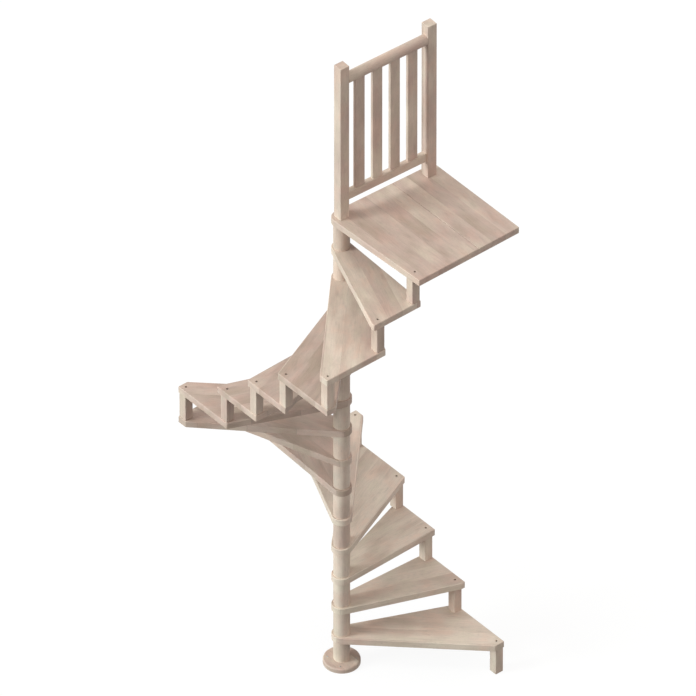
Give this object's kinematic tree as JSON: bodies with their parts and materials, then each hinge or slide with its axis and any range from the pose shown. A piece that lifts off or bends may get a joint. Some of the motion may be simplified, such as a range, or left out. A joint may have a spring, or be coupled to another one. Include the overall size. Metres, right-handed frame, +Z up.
{
  "type": "square-plan spiral staircase",
  "caption": "Wooden spiral stair on a square plan: winder treads round a stacked newel, with outer spacer posts, a corner landing and a slatted balustrade.",
  "frame": {"origin": "centre of the base flange's underside, on the axis of the newel, at floor level", "axes": "+Z up along the newel; +X and +Y along the sides of the square plan, pointing across the landing's two outer edges; the flight climbs counterclockwise seen from above"},
  "size_m": [1.255, 1.243, 4],
  "materials": {
    "tread_wood": "satin lacquered, edge-glued beech staves",
    "post_wood": "satin lacquered beech",
    "turned_wood": "satin lacquered turned beech",
    "rail_wood": "satin lacquered beech",
    "zinc_steel": "zinc plated"
  },
  "bodies": {
    "root": {"balusters": "rail_wood", "base_flange": "turned_wood", "bottom_rail": "rail_wood", "far_rail_post": "post_wood", "foot_post": "post_wood", "handrail": "rail_wood", "landing_front_board": "tread_wood", "landing_post": "post_wood", "landing_rear_board": "tread_wood", "newel_sleeves": "turned_wood", "newel_top_post": "post_wood", "spacer_post_02": "post_wood", "spacer_post_03": "post_wood", "spacer_post_04": "post_wood", "spacer_post_05": "post_wood", "spacer_post_06": "post_wood", "spacer_post_07": "post_wood", "spacer_post_08": "post_wood", "spacer_post_09": "post_wood", "spacer_post_10": "post_wood", "spacer_post_11": "post_wood", "spacer_post_12": "post_wood", "spacer_post_13": "post_wood", "spacer_post_14": "post_wood", "tie_rod": "zinc_steel", "tread_01": "tread_wood", "tread_02": "tread_wood", "tread_03": "tread_wood", "tread_04": "tread_wood", "tread_05": "tread_wood", "tread_06": "tread_wood", "tread_07": "tread_wood", "tread_08": "tread_wood", "tread_09": "tread_wood", "tread_10": "tread_wood", "tread_11": "tread_wood", "tread_12": "tread_wood", "tread_13": "tread_wood", "tread_14": "tread_wood"}
  },
  "joints": []
}
